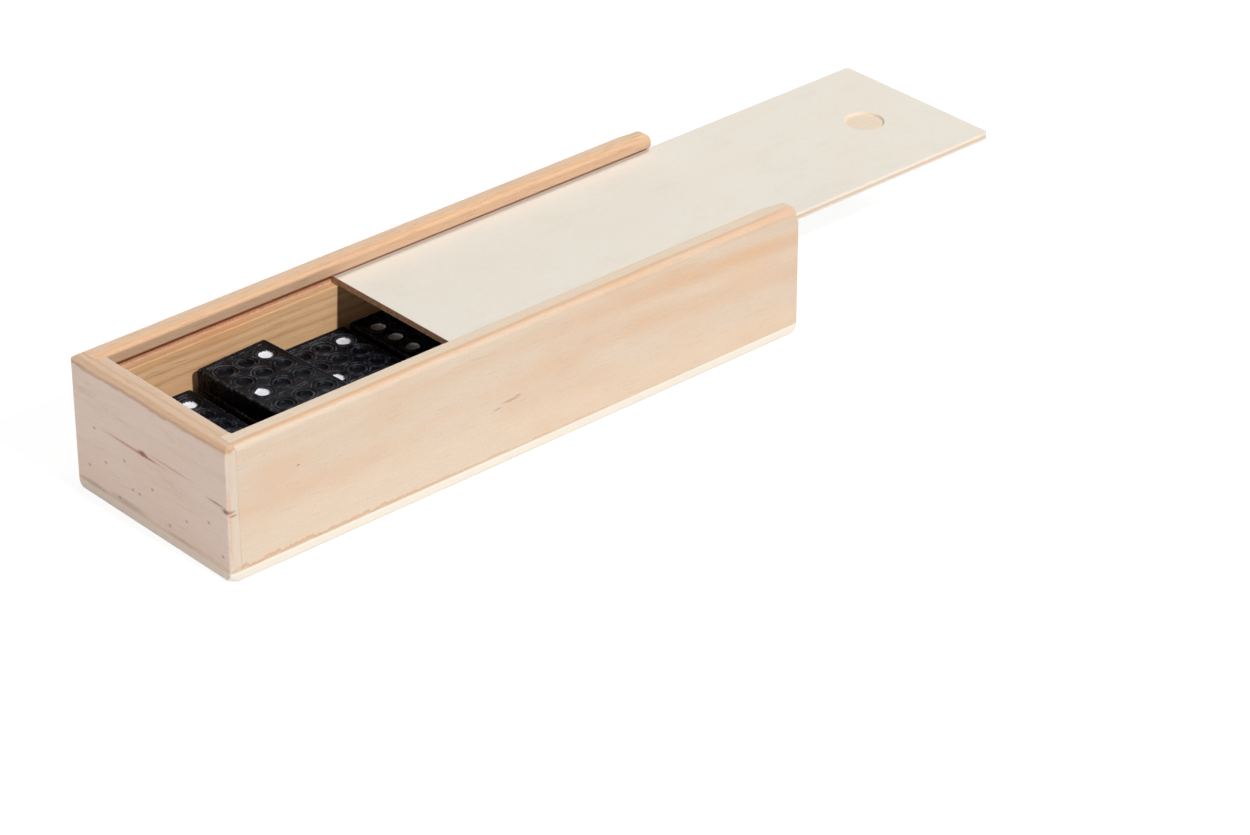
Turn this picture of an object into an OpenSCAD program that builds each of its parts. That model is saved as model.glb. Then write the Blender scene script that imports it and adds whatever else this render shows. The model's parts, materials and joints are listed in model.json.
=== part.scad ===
// Wooden storage box with a sliding lid, holding a set of dominoes.
// Millimetres. The origin is the centre of the underside, +X runs to the open end,
// +Y to the back and +Z up. The lid is drawn partly open.

/* [Room for the tiles] */
// Play between a tile's two ends and the sides, in all
end_room = 1.5; // [1.2:0.1:3]
// Gap between neighbouring tiles in a row, and at the row's ends
tile_gap = 1.5; // [0.5:0.25:2.5]
// More room at the open end of each row
row_room = 2; // [0:0.25:4]
// Height left free under the lid above four rows
head_room = 4.9; // [1:0.1:6]
// How far each row lies off the middle, to the back and front in turn
row_shift = 0.25; // [0:0.05:0.4]

/* [Box] */
// Thickness of the front and back sides
side_t = 5; // [4:0.25:7]
// Thickness of the closed end
closed_end_t = 5; // [4.5:0.25:8]
// How far the sides' ends are let into the closed end
rabbet_d = 2.5; // [1:0.25:3]
// Thickness of the low open end
open_end_t = 5; // [3:0.25:8]
// Thickness of the bottom panel
bottom_t = 2.5; // [2:0.25:4]

/* [Edges] */
// Rounding of the outer top edges
top_outer_r = 1.4; // [0.6:0.1:2]
// Rounding of the sides' inner top edges
top_inner_r = 0.8; // [0.4:0.1:1.4]
// Rounding of the closed end's inner top edge
end_inner_r = 0.3; // [0.2:0.1:1]
// Rounding of the sides' top corners at the open end
side_corner_r = 2.2; // [1:0.1:6]
// Rounding of the box's upright corners
upright_r = 0.8; // [0.4:0.1:2]
// Rounding of the bottom panel's lower edge
bottom_edge_r = 1; // [0.4:0.1:1.5]
// Rounding of the bottom panel's four lower corners, within its thickness
foot_corner_r = 2.3; // [1:0.1:4]

/* [Lid] */
// Thickness of the lid
lid_t = 1.5; // [1.2:0.1:3]
// Height of the solid lip above the groove
lip_h = 2.7; // [2.4:0.1:5]
// How far the grooves reach into the sides
groove_d = 2.1; // [0.8:0.1:3]
// How far the stopped groove reaches into the closed end
end_groove_d = 2.1; // [1:0.1:3]
// Play under the lid
lid_play = 0.1; // [0.05:0.05:0.3]
// Play above the lid
top_play = 1.1; // [0.1:0.1:1.5]
// Play between a lid edge and its groove
edge_play = 0.2; // [0.1:0.05:0.4]
// Play between the shut lid and the closed end's groove
seat_play = 0.1; // [0.05:0.05:0.3]
// How far the lid is drawn open
lid_open = 59.9; // [0:0.1:120]
// Corner radius of the lid's outer end
lid_corner_r = 1.7; // [0.4:0.1:4]
// Rounding of the lid's upper edges
lid_edge_r = 0.4; // [0.2:0.1:0.8]
// Diameter of the thumb recess at its rim
recess_d = 8.8; // [6:0.2:14]
// Diameter of the thumb recess's flat floor
recess_floor_d = 8; // [5:0.2:8.6]
// Depth of the thumb recess
recess_depth = 0.5; // [0.3:0.1:0.8]
// Distance from the lid's outer end to the recess's centre
recess_inset = 16.4; // [9:0.2:25]

/* [Tiles] */
// Length of a tile, across the box
tile_l = 38.5; // [36:0.25:46]
// Width of a tile
tile_w = 18; // [17:0.25:22]
// Thickness of a tile
tile_t = 4.3; // [3.5:0.1:8]
// Rounding of a tile's upright corners
tile_corner_r = 0.8; // [0.4:0.1:1.5]
// Rounding of a tile's faces' edges
tile_edge_r = 0.45; // [0.2:0.05:0.8]
// Diameter of a pip's dimple at its rim
pip_d = 3.4; // [2.8:0.1:4]
// Diameter of a dimple's flat floor
pip_floor_d = 2.6; // [1.6:0.1:2.7]
// Depth of a pip's dimple
pip_depth = 0.5; // [0.2:0.05:0.9]
// Spacing of the dimples along the tile
pip_pitch_l = 5.5; // [5.2:0.1:5.7]
// Spacing of the dimples across the tile
pip_pitch_w = 5.2; // [5.1:0.05:5.4]
// Distance of each half's middle dimple from the tile's middle line
half_offset = 8.9; // [8.6:0.1:9]
// Diameter of the ring pressed round each dimple
ring_d = 4.6; // [4:0.1:4.6]
// Width of the pressed ring
ring_w = 0.4; // [0.2:0.05:0.45]
// Depth of the pressed ring
ring_depth = 0.15; // [0.05:0.05:0.3]
// Width of the pressed lines
line_w = 0.6; // [0.3:0.05:1]
// Depth of the pressed lines
line_depth = 0.25; // [0.1:0.05:0.4]
// Length of the pressed lines, across the tile
line_l = 14.6; // [8:0.2:15.4]
// Distance of the end lines from the tile's short ends
end_line_inset = 1.6; // [1.2:0.1:1.8]

/* [Loose tile] */
// Its place past the middle of the top row's second tile
loose_shift = 0.5; // [-3:0.25:3]
// Its turn, in degrees
loose_turn = 3; // [-3:0.5:3]

/* [Hidden] */
$fn = 96;
cut = 1;
skim = 0.1;
full_rows = 4;
places = 7;
inner_l = places * tile_w + (places + 1) * tile_gap + row_room;
inner_w = tile_l + end_room;
box_l = closed_end_t + inner_l + open_end_t;
box_w = inner_w + 2 * side_t;
groove_h = lid_t + lid_play + top_play;
groove_z = bottom_t + full_rows * tile_t + head_room;
box_h = groove_z + groove_h + lip_h;
end_face_x = -box_l / 2 + closed_end_t;
lid_w = inner_w + 2 * (groove_d - edge_play);
shut_x = end_face_x - end_groove_d + seat_play;
lid_l = box_l / 2 - shut_x;
lid_x = shut_x + lid_open;
lid_z = groove_z + lid_play;
foot_sand_r = min(foot_corner_r, bottom_t);
line_ball_r = (pow(line_w / 2, 2) + pow(line_depth, 2)) / (2 * line_depth);
pine = [0.90, 0.76, 0.60];
pale_ply = [0.91, 0.87, 0.79];
black_stain = [0.08, 0.08, 0.09];

// Tiles are named by their two numbers, the back half's first
BOTTOM_ROW = ["tile_0_1", "tile_3_5", "tile_4_6", "tile_2_2", "tile_5_6", "tile_1_3", "tile_4_0"];
MIDDLE_ROW = ["tile_1_2", "tile_3_3", "tile_0_6", "tile_2_5", "tile_4_4", "tile_1_6", "tile_2_3"];
TOP_ROW = ["tile_3_0", "tile_4_1", "tile_2_4", "tile_6_3", "tile_5_4", "tile_0_0", "tile_6_6"];
ROWS = [BOTTOM_ROW, MIDDLE_ROW, TOP_ROW];
stack_top = bottom_t + len(ROWS) * tile_t;
// Places in the top row that the loose tile and the spare tile lie on
loose_place = 1;
spare_place = 5;

// What a round-over takes off a corner at the origin, with the wood at -x and -y
module round_over(r) {
    difference() {
        translate([-r, -r]) square(r + cut);
        translate([-r, -r]) circle(r);
    }
}

// Flat rectangle about the origin with four round corners
module round_rect(l, w, r) {
    difference() {
        square([l, w], center = true);
        for (turn = [0 : 3])
            rotate(90 * turn)
                translate(turn % 2 == 0 ? [l / 2, w / 2] : [w / 2, l / 2]) round_over(r);
    }
}

// Carries a flat shape drawn in y and z along +X
module along_x(length) {
    rotate([90, 0, 90]) linear_extrude(length) children();
}

// Carries a flat shape drawn in x and z along +Y
module along_y(length) {
    translate([0, length, 0]) rotate([90, 0, 0]) linear_extrude(length) children();
}

// Upright section of a side, outer face at 0, with its groove in the inner face
module side_section() {
    difference() {
        translate([0, bottom_t]) square([side_t, box_h - bottom_t]);
        translate([0, box_h]) rotate(90) round_over(top_outer_r);
        translate([side_t - groove_d, groove_z]) square([groove_d + cut, groove_h]);
    }
}

// What a round recess with a flat floor and a sloped wall takes off a face at height 0
module flat_dish(rim_d, floor_d, depth) {
    flare = (rim_d - floor_d) * skim / depth;
    translate([0, 0, -depth]) cylinder(h = depth + skim, d1 = floor_d, d2 = rim_d + flare);
}

// The front side, which the back side mirrors
module long_side() {
    side_l = box_l - closed_end_t + rabbet_d;
    difference() {
        translate([end_face_x - rabbet_d, -box_w / 2, 0]) along_x(side_l) side_section();
        translate([end_face_x, -inner_w / 2, box_h]) along_x(side_l) round_over(top_inner_r);
        translate([box_l / 2, -box_w / 2 - cut, box_h])
            along_y(side_t + 2 * cut) round_over(side_corner_r);
        translate([box_l / 2, -box_w / 2, 0])
            linear_extrude(box_h + cut) rotate(-90) round_over(upright_r);
    }
}

module front_side() {
    color(pine) long_side();
}

module back_side() {
    color(pine) mirror([0, 1, 0]) long_side();
}

// Full-width end, with a rabbet for each side's end and a stopped groove for the shut lid
module closed_end() {
    color(pine) difference() {
        translate([-box_l / 2, -box_w / 2, bottom_t])
            cube([closed_end_t, box_w, box_h - bottom_t]);
        translate([-box_l / 2, -box_w / 2 - cut, box_h])
            along_y(box_w + 2 * cut) rotate(90) round_over(top_outer_r);
        translate([end_face_x, -box_w / 2 - cut, box_h])
            along_y(box_w + 2 * cut) round_over(end_inner_r);
        for (side = [0, 1]) mirror([0, side, 0]) {
            translate([-box_l / 2, box_w / 2, 0])
                linear_extrude(box_h + cut) rotate(90) round_over(upright_r);
            translate([-box_l / 2 - cut, box_w / 2, box_h])
                along_x(closed_end_t + 2 * cut) round_over(top_outer_r);
            translate([end_face_x - rabbet_d, inner_w / 2, bottom_t - cut])
                cube([rabbet_d + cut, side_t + cut, box_h]);
        }
        translate([end_face_x - end_groove_d, -lid_w / 2 - edge_play, groove_z])
            cube([end_groove_d + cut, lid_w + 2 * edge_play, groove_h]);
    }
}

// Low end between the sides, whose top is level with the groove's floor
module open_end() {
    color(pine) translate([box_l / 2 - open_end_t, -inner_w / 2, bottom_t])
        cube([open_end_t, inner_w, groove_z - bottom_t]);
}

// Thin panel under all four walls, with a soft lower edge and corners that are sanded off below
module bottom_panel() {
    color(pale_ply) difference() {
        intersection() {
            linear_extrude(bottom_t) round_rect(box_l, box_w, upright_r);
            translate([-box_l / 2, 0, 0]) along_x(box_l) soft_foot(box_w);
            translate([0, -box_w / 2, 0]) along_y(box_w) soft_foot(box_l);
        }
        for (end = [0, 1], side = [0, 1])
            mirror([end, 0, 0]) mirror([0, side, 0])
                translate([box_l / 2, box_w / 2, 0]) rotate(45) foot_corner();
    }
}

// What sanding takes off a lower corner at the origin, with the wood at -x
module foot_corner() {
    translate([-upright_r * (sqrt(2) - 1), -2 * foot_sand_r, 0])
        along_y(4 * foot_sand_r) mirror([0, 1]) round_over(foot_sand_r);
}

// Section of the bottom panel, rounded below
module soft_foot(w) {
    difference() {
        translate([-w / 2, 0]) square([w, bottom_t]);
        for (side = [0, 1]) mirror([side, 0])
            translate([w / 2, 0]) mirror([0, 1]) round_over(bottom_edge_r);
    }
}

// Sliding lid, from its square inner end to its round-cornered outer end
module lid() {
    color(pale_ply) translate([lid_x, 0, lid_z]) difference() {
        translate([0, -lid_w / 2, 0]) cube([lid_l, lid_w, lid_t]);
        for (side = [0, 1]) mirror([0, side, 0]) {
            translate([lid_l, lid_w / 2, -cut])
                linear_extrude(lid_t + 2 * cut) round_over(lid_corner_r);
            translate([-cut, lid_w / 2, lid_t]) along_x(lid_l + 2 * cut) round_over(lid_edge_r);
        }
        translate([lid_l, -lid_w / 2 - cut, lid_t]) along_y(lid_w + 2 * cut) round_over(lid_edge_r);
        translate([lid_l - recess_inset, 0, lid_t])
            flat_dish(recess_d, recess_floor_d, recess_depth);
    }
}

// Plain block of one tile, its underside at 0, with every edge rounded
module tile_block() {
    intersection() {
        linear_extrude(tile_t) round_rect(tile_w, tile_l, tile_corner_r);
        translate([-tile_w / 2, 0, tile_t / 2]) along_x(tile_w) round_rect(tile_l, tile_t, tile_edge_r);
        translate([0, -tile_l / 2, tile_t / 2]) along_y(tile_l) round_rect(tile_w, tile_t, tile_edge_r);
    }
}

// What one pip's place takes off the tile's face: a round dimple and the ring about it
module pip_press() {
    flat_dish(pip_d, pip_floor_d, pip_depth);
    rotate_extrude()
        translate([ring_d / 2, 0])
            polygon([[-ring_w / 2, 0], [0, -ring_depth], [ring_w / 2, 0], [ring_w / 2, skim], [-ring_w / 2, skim]]);
}

// One tile: nine pressed pip places in each half, a middle line and a line at each end
module tile() {
    line_z = tile_t - line_depth + line_ball_r;
    end_line_y = tile_l / 2 - end_line_inset;
    color(black_stain) difference() {
        tile_block();
        for (half = [-1, 1], row = [-1 : 1], column = [-1 : 1])
            translate([column * pip_pitch_w, half * half_offset + row * pip_pitch_l, tile_t])
                pip_press();
        for (y = [-end_line_y, 0, end_line_y])
            translate([-line_l / 2, y, line_z])
                rotate([0, 90, 0]) cylinder(h = line_l, r = line_ball_r);
    }
}

// Middle of a place in a row, along the box
function place_x(i) = end_face_x + tile_gap + tile_w / 2 + i * (tile_w + tile_gap);

// A tile in one of the three rows, counted from the bottom row
module stacked_tile(layer, i) {
    y = layer % 2 == 0 ? row_shift : -row_shift;
    translate([place_x(i), y, bottom_t + layer * tile_t]) tile();
}

// The tile that lies by itself on the top row, in the open part of the box
module tile_2_0() {
    translate([place_x(loose_place) + loose_shift, 0, stack_top]) rotate(loose_turn) tile();
}

// The tile left over from the full rows, on the top row under the lid
module tile_3_4() {
    translate([place_x(spare_place), 0, stack_top]) tile();
}

bottom_panel();
front_side();
back_side();
closed_end();
open_end();
lid();
for (layer = [0 : len(ROWS) - 1], i = [0 : places - 1])
    stacked_tile(layer, i);
tile_3_4();
tile_2_0();
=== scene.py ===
import json
import math

import bmesh
import bpy
import numpy as np
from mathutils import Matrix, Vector

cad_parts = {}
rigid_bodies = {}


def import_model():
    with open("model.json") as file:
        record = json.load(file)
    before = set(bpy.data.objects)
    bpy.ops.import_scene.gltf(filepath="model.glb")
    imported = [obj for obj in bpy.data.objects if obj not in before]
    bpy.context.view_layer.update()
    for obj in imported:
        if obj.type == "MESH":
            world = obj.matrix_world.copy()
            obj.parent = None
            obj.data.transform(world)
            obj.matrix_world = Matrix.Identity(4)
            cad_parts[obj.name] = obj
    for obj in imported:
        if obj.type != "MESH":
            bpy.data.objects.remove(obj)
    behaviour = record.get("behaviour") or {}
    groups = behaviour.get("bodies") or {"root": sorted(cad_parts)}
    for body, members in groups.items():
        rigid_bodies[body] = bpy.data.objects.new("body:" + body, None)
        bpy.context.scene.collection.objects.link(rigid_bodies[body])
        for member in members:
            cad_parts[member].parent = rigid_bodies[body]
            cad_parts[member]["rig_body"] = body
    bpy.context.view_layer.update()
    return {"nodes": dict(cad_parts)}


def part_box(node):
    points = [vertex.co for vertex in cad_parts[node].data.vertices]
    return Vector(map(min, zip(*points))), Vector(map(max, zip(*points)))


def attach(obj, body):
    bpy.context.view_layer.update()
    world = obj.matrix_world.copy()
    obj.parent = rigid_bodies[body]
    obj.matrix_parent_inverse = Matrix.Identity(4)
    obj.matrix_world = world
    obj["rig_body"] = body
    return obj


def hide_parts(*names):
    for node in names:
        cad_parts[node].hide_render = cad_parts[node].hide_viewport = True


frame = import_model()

# The model is in metres. The sizes below are in millimetres, and the camera's and lamps' places in metres.
MM = 0.001

# The camera, at the photograph's place and angle
CAMERA_AT = (-0.4925, -0.6019, 0.4478)
CAMERA_LOOKS = (0.57835, 0.64347, -0.50146)
CAMERA_LENS = 126.06

# The tiles' pressed face: dimples for the pips, a ring round each, and lines across both halves
TILE_CORNER = 0.8
TILE_EDGE = 0.45
PIP_RIM = 1.62
PIP_FLOOR = 1.42
PIP_DEPTH = 0.5
PIP_SHIFT = 0.05
PIP_ALONG = 5.5
PIP_ACROSS = 5.2
HALF_OFFSET = 8.9
RING_RADIUS = 2.3
RING_HALF_WIDTH = 0.13
RING_DEPTH = 0.19
RING_LIP = 0.3
LINE_HALF = 7.3
LINE_HALF_WIDTH = 0.2
LINE_DEPTH = 0.24
LINE_BORDER = 0.36
END_LINE_INSET = 1.6
SKIN_RELIEF = 1.0

# Painted dimples of a half for each number, as column and row from its middle
PIP_SPOTS = {
    0: [],
    1: [(0, 0)],
    2: [(-1, -1), (1, 1)],
    3: [(-1, -1), (0, 0), (1, 1)],
    4: [(-1, -1), (-1, 1), (1, -1), (1, 1)],
    5: [(-1, -1), (-1, 1), (0, 0), (1, -1), (1, 1)],
    6: [(-1, -1), (-1, 0), (-1, 1), (1, -1), (1, 0), (1, 1)],
}

# Tiles that show through the opening and the two on the top row get a fine mesh, the others a coarser one
FINE_STEP = 0.11
COARSE_STEP = 0.22
FINE_TILES = ["tile_3_0", "tile_4_1", "tile_2_4", "tile_6_3", "tile_3_4", "tile_2_0"]
LOOSE_TILE = "tile_2_0"
LOOSE_TURN = math.radians(3)
FIRST_SEED = 40

# Boards' edges sharper than SHARP are sanded round, and faces within FLAT of each other are one face
SANDED = 0.1
SHARP = math.radians(35)
FLAT = math.radians(0.5)
WELD = 0.001

# The sides' upper edges have these radii. At the open end they are sanded rounder, over a reach along the
# side and a drop down its end, and cut up at the fine depths first. The lip stands above the groove.
SIDES = ("front_side", "back_side")
INNER_EDGE_R = 0.8
OUTER_EDGE_R = 1.4
UPRIGHT_EDGE_R = 0.8
LIP_END_R = 2.0
LIP_END_REACH = 7.0
LIP_END_DROP = 4.0
LIP_HIGH = 2.7
FINE_CUTS = [0.25 * n for n in range(1, 10)]

# The floor's half width, and how far under the box it lies, so that their faces don't coincide
FLOOR_HALF = 8000
FLOOR_DROP = 0.02


def srgb(red, green, blue):
    """A colour in linear light from its 0 to 255 screen values."""
    share = np.array([red, green, blue]) / 255
    linear = np.where(share > 0.04045, ((share + 0.055) / 1.055) ** 2.4, share / 12.92)
    return (*linear.tolist(), 1.0)


def smooth_step(value, low, high):
    """0 below low, 1 above high and an even S between them, for whole arrays."""
    share = np.clip((value - low) / (high - low), 0, 1)
    return share * share * (3 - 2 * share)


# Shader nodes

def put(tree, kind, values=(), named=None, out=0, **settings):
    """Adds a node and gives one of its outputs. Its inputs are filled in order, or by name: a socket is
    joined, a number or colour is set, and None is left as it is."""
    node = tree.nodes.new(kind)
    for key, value in settings.items():
        setattr(node, key, value)
    pairs = list(zip(node.inputs, values)) + [(node.inputs[k], v) for k, v in (named or {}).items()]
    for socket, value in pairs:
        if isinstance(value, bpy.types.NodeSocket):
            tree.links.new(value, socket)
        elif value is not None:
            socket.default_value = value
    return node.outputs[out]


def calc(tree, operation, *values):
    """One sum on numbers."""
    return put(tree, "ShaderNodeMath", values, operation=operation)


def turn(tree, operation, *values, out=0):
    """One sum on vectors."""
    return put(tree, "ShaderNodeVectorMath", values, operation=operation, out=out)


def resize(tree, vector, factor):
    """A vector made longer or shorter by one factor."""
    return put(tree, "ShaderNodeVectorMath", (vector, None, None, factor), operation="SCALE")


def axes(tree, vector):
    """The three numbers of a vector."""
    parts = tree.nodes.new("ShaderNodeSeparateXYZ")
    tree.links.new(vector, parts.inputs[0])
    return parts.outputs[0], parts.outputs[1], parts.outputs[2]


def bell(tree, value, middle, half_width):
    """A bell curve, 1 at its middle and a third of that one half width away."""
    off = calc(tree, "DIVIDE", calc(tree, "SUBTRACT", value, middle), half_width)
    return calc(tree, "EXPONENT", calc(tree, "MULTIPLY", calc(tree, "MULTIPLY", off, off), -1.0))


def to_nearest(tree, value, pitch):
    """Distance to the nearest of three places that lie a pitch apart, with the middle one at 0."""
    step = calc(tree, "ROUND", calc(tree, "DIVIDE", value, pitch))
    kept = calc(tree, "MINIMUM", calc(tree, "MAXIMUM", step, -1.0), 1.0)
    return calc(tree, "SUBTRACT", value, calc(tree, "MULTIPLY", kept, pitch))


def ease(tree, value, low, high, start=0.0, end=1.0):
    """A soft step from start to end, as the value goes from low to high."""
    return put(tree, "ShaderNodeMapRange", (value, low, high, start, end), interpolation_type="SMOOTHSTEP")


def noise(tree, place, scale, detail=2.0, roughness=0.5, out=0):
    """Cloudy noise from 0 to 1, at a place in millimetres, with scale in clouds a millimetre."""
    named = {"Vector": place, "Scale": scale, "Detail": detail, "Roughness": roughness}
    return put(tree, "ShaderNodeTexNoise", named=named, out=out)


def mix(tree, share, first, second, blend="MIX"):
    """Two colours mixed by a share from 0 to 1."""
    node = tree.nodes.new("ShaderNodeMix")
    node.data_type = "RGBA"
    node.blend_type = blend
    for socket, value in zip([node.inputs[0], node.inputs[6], node.inputs[7]], [share, first, second]):
        if isinstance(value, bpy.types.NodeSocket):
            tree.links.new(value, socket)
        else:
            socket.default_value = value
    return node.outputs[2]


def new_group(name, inputs, outputs):
    """An empty shader group with named sockets. Gives the tree, its inputs and its outputs."""
    tree = bpy.data.node_groups.new(name, "ShaderNodeTree")
    for label, kind, default in inputs:
        socket = tree.interface.new_socket(label, in_out="INPUT", socket_type=kind)
        socket.default_value = default
    for label, kind in outputs:
        tree.interface.new_socket(label, in_out="OUTPUT", socket_type=kind)
    return tree, tree.nodes.new("NodeGroupInput").outputs, tree.nodes.new("NodeGroupOutput").inputs


def use_group(tree, group, **named):
    """Places a shared group in a material, with the material's own values."""
    node = tree.nodes.new("ShaderNodeGroup")
    node.node_tree = group
    for label, value in named.items():
        socket = node.inputs[label.replace("_", " ")]
        if isinstance(value, bpy.types.NodeSocket):
            tree.links.new(value, socket)
        else:
            socket.default_value = value
    return node.outputs


def growth_rings():
    """Sawn softwood as a solid pattern. Rings lie round a pith that runs along X, and are bent by slow
    noise. Each ring darkens slowly and ends at once. Fibres and the coarser, rarer hairs are noise
    drawn out along X that runs a little uphill, and patches are broad clouds."""
    tree, given, made = new_group(
        "growth_rings",
        [("Place", "NodeSocketVector", (0, 0, 0)), ("Pith", "NodeSocketVector", (0, 0, 0)),
         ("Ring Width", "NodeSocketFloat", 2.0), ("Bend", "NodeSocketFloat", 3.0)],
        [("Rings", "NodeSocketFloat"), ("Fibres", "NodeSocketFloat"), ("Hairs", "NodeSocketFloat"),
         ("Patches", "NodeSocketFloat")])
    place = given["Place"]
    slow = turn(tree, "MULTIPLY", place, (0.14, 0.6, 0.6))
    shove = turn(tree, "SUBTRACT", noise(tree, slow, 0.06, 2, 0.45, out=1), (0.5, 0.5, 0.5))
    bent = turn(tree, "ADD", place, resize(tree, shove, given["Bend"]))
    flat = turn(tree, "MULTIPLY", turn(tree, "SUBTRACT", bent, given["Pith"]), (0, 1, 1))
    radius = turn(tree, "LENGTH", flat, out=1)
    phase = calc(tree, "FRACT", calc(tree, "DIVIDE", radius, given["Ring Width"]))
    late = calc(tree, "MULTIPLY", calc(tree, "POWER", phase, 2.2), ease(tree, phase, 1.0, 0.86))
    tree.links.new(late, made["Rings"])
    along = axes(tree, place)[0]
    rise = put(tree, "ShaderNodeCombineXYZ", (0.0, 0.0, calc(tree, "MULTIPLY", along, 0.05)))
    tilted = turn(tree, "ADD", place, rise)
    fibres = noise(tree, turn(tree, "MULTIPLY", tilted, (0.05, 1.0, 1.0)), 3.2, 5, 0.65)
    tree.links.new(fibres, made["Fibres"])
    hairs = noise(tree, turn(tree, "MULTIPLY", tilted, (0.03, 1.0, 1.0)), 2.0, 3, 0.6)
    tree.links.new(ease(tree, hairs, 0.6, 0.7), made["Hairs"])
    broad = turn(tree, "MULTIPLY", place, (0.4, 1.0, 1.0))
    tree.links.new(noise(tree, broad, 0.09, 3, 0.5), made["Patches"])
    return tree


def grain_band():
    """A sheet of darker or paler wood along X, 1 in its middle and 0 outside. Across is the sheet's
    normal and Offset its distance from the origin. Slow waves bend it and small ones roughen its
    borders. It fades in from the place Faint to the place Full along the grain."""
    tree, given, made = new_group(
        "grain_band",
        [("Place", "NodeSocketVector", (0, 0, 0)), ("Across", "NodeSocketVector", (0, 0, 1)),
         ("Offset", "NodeSocketFloat", 0.0), ("Half Width", "NodeSocketFloat", 1.0),
         ("Soft", "NodeSocketFloat", 0.4), ("Waves", "NodeSocketFloat", 0.5),
         ("Faint", "NodeSocketFloat", -1000.0), ("Full", "NodeSocketFloat", -999.0)],
        [("Mask", "NodeSocketFloat")])
    place = given["Place"]
    level = turn(tree, "DOT_PRODUCT", place, given["Across"], out=1)
    slow = noise(tree, turn(tree, "MULTIPLY", place, (0.05, 0.15, 0.15)), 1.0, 2)
    small = noise(tree, turn(tree, "MULTIPLY", place, (0.3, 1.0, 1.0)), 1.3, 3)
    both = calc(tree, "MULTIPLY_ADD", small, 0.5, slow)
    sway = calc(tree, "MULTIPLY", calc(tree, "SUBTRACT", both, 0.75), 2.0)
    moved = calc(tree, "MULTIPLY_ADD", sway, given["Waves"], level)
    away = calc(tree, "ABSOLUTE", calc(tree, "SUBTRACT", moved, given["Offset"]))
    reach = calc(tree, "DIVIDE", away, given["Half Width"])
    outer = calc(tree, "ADD", given["Soft"], 1.0)
    inner = calc(tree, "SUBTRACT", 1.0, given["Soft"])
    inside = ease(tree, reach, outer, inner)
    shown = ease(tree, axes(tree, place)[0], given["Faint"], given["Full"])
    tree.links.new(calc(tree, "MULTIPLY", inside, shown), made["Mask"])
    return tree


def wood_mark():
    """One small mark in wood, such as a pin knot or a resin streak: an oval that fades at its rim, with
    a rim that noise makes uneven. Sizes and places are in millimetres."""
    tree, given, made = new_group(
        "wood_mark",
        [("Place", "NodeSocketVector", (0, 0, 0)), ("Centre", "NodeSocketVector", (0, 0, 0)),
         ("Half Size", "NodeSocketVector", (1, 1, 1)), ("Rough", "NodeSocketFloat", 0.5)],
        [("Mask", "NodeSocketFloat")])
    from_centre = turn(tree, "SUBTRACT", given["Place"], given["Centre"])
    away = turn(tree, "DIVIDE", from_centre, given["Half Size"])
    uneven = calc(tree, "MULTIPLY", noise(tree, given["Place"], 2.2, 3), given["Rough"])
    reach = calc(tree, "ADD", turn(tree, "LENGTH", away, out=1), uneven)
    tree.links.new(ease(tree, reach, 1.15, 0.45), made["Mask"])
    return tree


def ply_layers():
    """Three-layer plywood as a solid pattern. Core is 1 between the two veneers, Seam is 1 in the thin
    glue seams, and Fuzz is short fibre noise."""
    tree, given, made = new_group(
        "ply_layers",
        [("Place", "NodeSocketVector", (0, 0, 0)), ("Underside", "NodeSocketFloat", 0.0),
         ("Thickness", "NodeSocketFloat", 2.7), ("Veneer", "NodeSocketFloat", 0.6)],
        [("Core", "NodeSocketFloat"), ("Seam", "NodeSocketFloat"), ("Fuzz", "NodeSocketFloat")])
    place = given["Place"]
    level = calc(tree, "SUBTRACT", axes(tree, place)[2], given["Underside"])
    flat = turn(tree, "MULTIPLY", place, (1, 1, 0))
    wave = calc(tree, "MULTIPLY_ADD", noise(tree, flat, 0.7, 3), 0.22, -0.11)
    middle = calc(tree, "MULTIPLY", given["Thickness"], 0.5)
    off_middle = calc(tree, "ABSOLUTE", calc(tree, "SUBTRACT", calc(tree, "ADD", level, wave), middle))
    core_half = calc(tree, "SUBTRACT", middle, given["Veneer"])
    past = calc(tree, "SUBTRACT", off_middle, core_half)
    tree.links.new(ease(tree, past, 0.06, -0.06), made["Core"])
    tree.links.new(ease(tree, calc(tree, "ABSOLUTE", past), 0.09, 0.02), made["Seam"])
    drawn = turn(tree, "MULTIPLY", place, (0.22, 1.0, 1.0))
    tree.links.new(noise(tree, drawn, 2.6, 4, 0.7), made["Fuzz"])
    return tree


GROWTH_RINGS = growth_rings()
GRAIN_BAND = grain_band()
WOOD_MARK = wood_mark()
PLY_LAYERS = ply_layers()


def new_material(name):
    """A material with a plain Principled shader. Gives the material, its tree, its shader and a point's
    place in millimetres."""
    material = bpy.data.materials.new(name)
    material.use_nodes = True
    tree = material.node_tree
    shader = tree.nodes["Principled BSDF"]
    here = put(tree, "ShaderNodeTexCoord", out=3)
    place = resize(tree, here, 1 / MM)
    return material, tree, shader, place


def raise_grain(tree, shader, height, depth, strength=1.0):
    """Joins a height from 0 to 1 to the shader as fine relief of a depth in millimetres."""
    bump = tree.nodes.new("ShaderNodeBump")
    bump.inputs["Strength"].default_value = strength
    bump.inputs["Distance"].default_value = depth * MM
    tree.links.new(height, bump.inputs["Height"])
    tree.links.new(bump.outputs["Normal"], shader.inputs["Normal"])


def facing(tree, axis):
    """1 where a face looks along an axis, either way, and 0 where it looks across it."""
    normal = put(tree, "ShaderNodeTexCoord", out=1)
    return ease(tree, calc(tree, "ABSOLUTE", axes(tree, normal)[axis]), 0.75, 0.95)


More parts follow.
